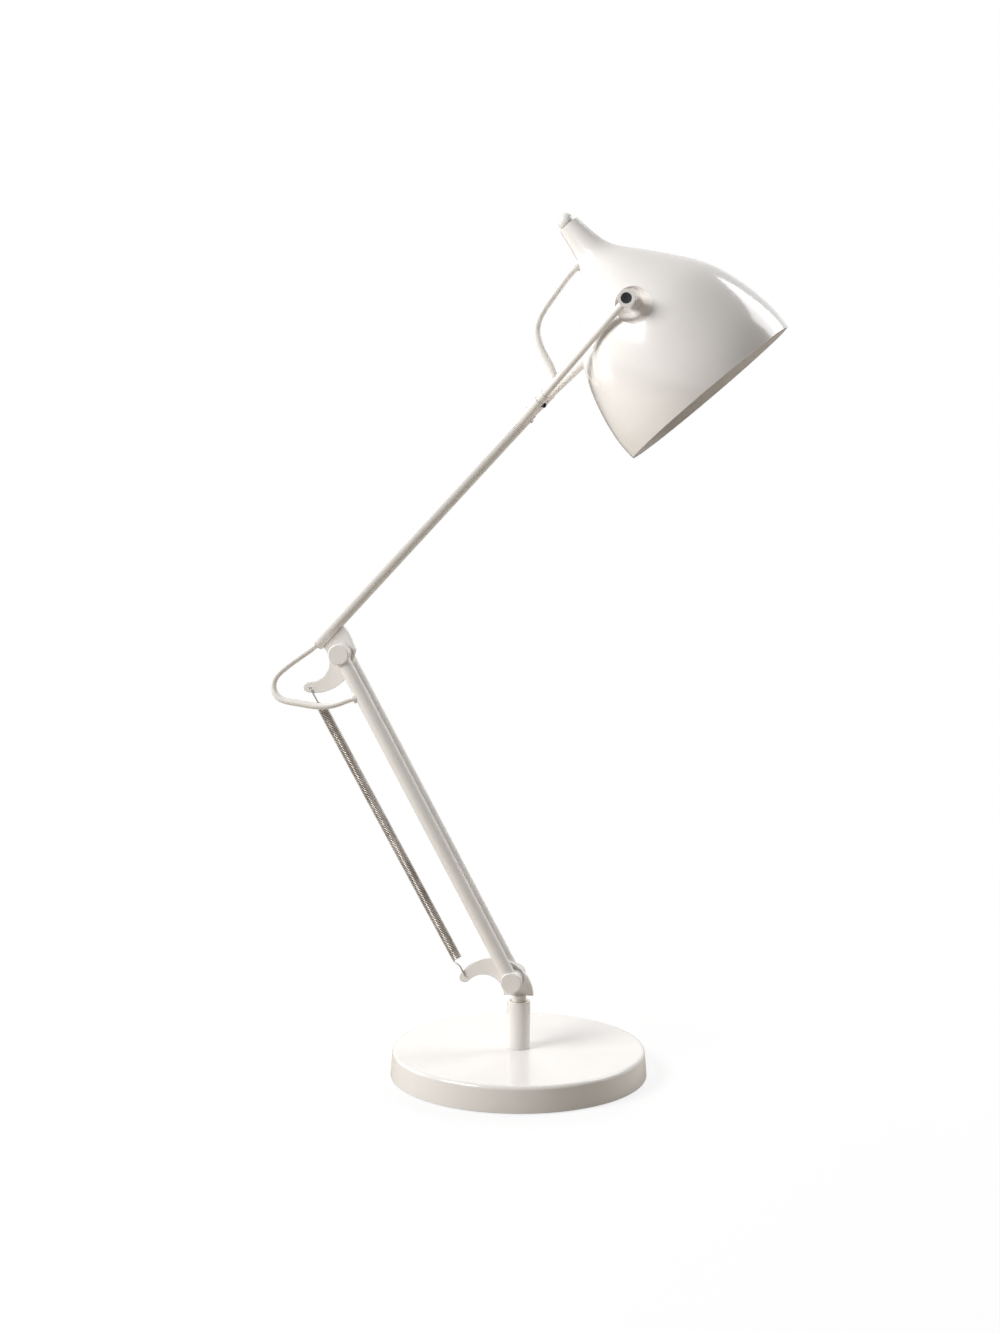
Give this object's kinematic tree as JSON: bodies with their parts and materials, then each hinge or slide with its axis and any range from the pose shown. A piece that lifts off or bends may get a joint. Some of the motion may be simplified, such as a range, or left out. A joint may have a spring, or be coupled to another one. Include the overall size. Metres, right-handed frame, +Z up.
{
  "type": "swing arm desk lamp",
  "caption": "White desk lamp with a round weighted base, a sprung twin-tube lower arm, a single-tube upper arm and a bell shade tilting in a rod fork.",
  "frame": {"origin": "centre of the base's underside, on the surface the lamp stands on", "axes": "+Z up along the post; the arm swings in the XZ plane, the elbow is towards -X and the shade's mouth faces +X and down; -Y is the front of the picture"},
  "size_m": [0.3921, 0.2, 0.6612],
  "materials": {
    "white_paint": "warm white gloss paint",
    "arm_paint": "warm white gloss paint on steel tube",
    "spring_steel": "bare spring wire",
    "bright_steel": "bright zinc",
    "black_steel": "black oxide",
    "iron": "rough casting",
    "felt": "dark felt",
    "brass": "plain turned brass",
    "nylon": "white nylon",
    "white_pvc": "white flexible cable",
    "holder_plastic": "heat-proof moulding",
    "bulb_glass": "frosted"
  },
  "bodies": {
    "base": {"base_cover": "white_paint", "base_pad": "felt", "base_weight": "iron", "stem_bolt": "bright_steel", "stem_post": "white_paint", "stem_washer": "bright_steel", "swivel_bush": "brass"},
    "swivel": {"lower_bracket": "white_paint", "swivel_clip": "bright_steel", "swivel_neck": "white_paint"},
    "lower_arm": {"elbow_boss_front": "white_paint", "elbow_boss_rear": "white_paint", "elbow_pivot_pin": "bright_steel", "elbow_thrust_washers": "nylon", "entry_grommet": "nylon", "lower_boss_front": "white_paint", "lower_boss_rear": "white_paint", "lower_lead": "white_pvc", "lower_pivot_pin": "bright_steel", "lower_thrust_washers": "nylon", "lower_tube_front": "arm_paint", "lower_tube_rear": "arm_paint", "outlet_grommet": "nylon", "tension_spring": "spring_steel"},
    "upper_arm": {"elbow_cable": "white_pvc", "fork_stop_pin": "black_steel", "tube_end_bush": "nylon", "upper_bracket": "white_paint", "upper_lead": "white_pvc", "upper_tube": "arm_paint"},
    "fork": {"cable_clamp_screw": "black_steel", "fork_block": "white_paint", "fork_eye_front": "white_paint", "fork_eye_rear": "white_paint", "fork_ferrule_front": "white_paint", "fork_ferrule_rear": "white_paint", "fork_lead": "white_pvc", "fork_rod_front": "white_paint", "fork_rod_rear": "white_paint", "rod_clamp_screw_front": "black_steel", "rod_clamp_screw_rear": "black_steel"},
    "shade": {"bulb_cap": "bright_steel", "bulb_globe": "bulb_glass", "cable_gland": "nylon", "finial_ball": "white_paint", "holder_nipple": "bright_steel", "lamp_lead": "white_pvc", "lampholder": "holder_plastic", "neck_plug": "nylon", "pivot_nut_front": "bright_steel", "pivot_nut_rear": "bright_steel", "pivot_screw_front": "black_steel", "pivot_screw_rear": "black_steel", "pivot_spacer_front": "white_paint", "pivot_spacer_rear": "white_paint", "shade_cable": "white_pvc", "shade_shell": "white_paint"}
  },
  "joints": [
    {"name": "base_swivel", "type": "hinge", "parent": "base", "child": "swivel", "pos_m": [0, 0, 0.0585], "axis": [0, 0, 1], "continuous": true},
    {"name": "lower_pivot", "type": "hinge", "parent": "swivel", "child": "lower_arm", "pos_m": [-0.0045, 0, 0.0764], "axis": [0, 1, 0], "range_deg": [-30, 50], "deforming": ["tension_spring"]},
    {"name": "elbow", "type": "hinge", "parent": "lower_arm", "child": "upper_arm", "pos_m": [-0.13833, 0, 0.32916], "axis": [0, 1, 0], "range_deg": [-40, 60], "deforming": ["tension_spring", "elbow_cable"]},
    {"name": "fork_swivel", "type": "hinge", "parent": "upper_arm", "child": "fork", "pos_m": [-0.00437, 0, 0.5019], "axis": [0.6782, 0, 0.7349], "range_deg": [-90, 90]},
    {"name": "shade_tilt", "type": "hinge", "parent": "fork", "child": "shade", "pos_m": [0.08462, -0.00007, 0.5945], "axis": [0.0199, 0.9996, -0.0183], "range_deg": [-75, 2], "deforming": ["shade_cable"]}
  ]
}
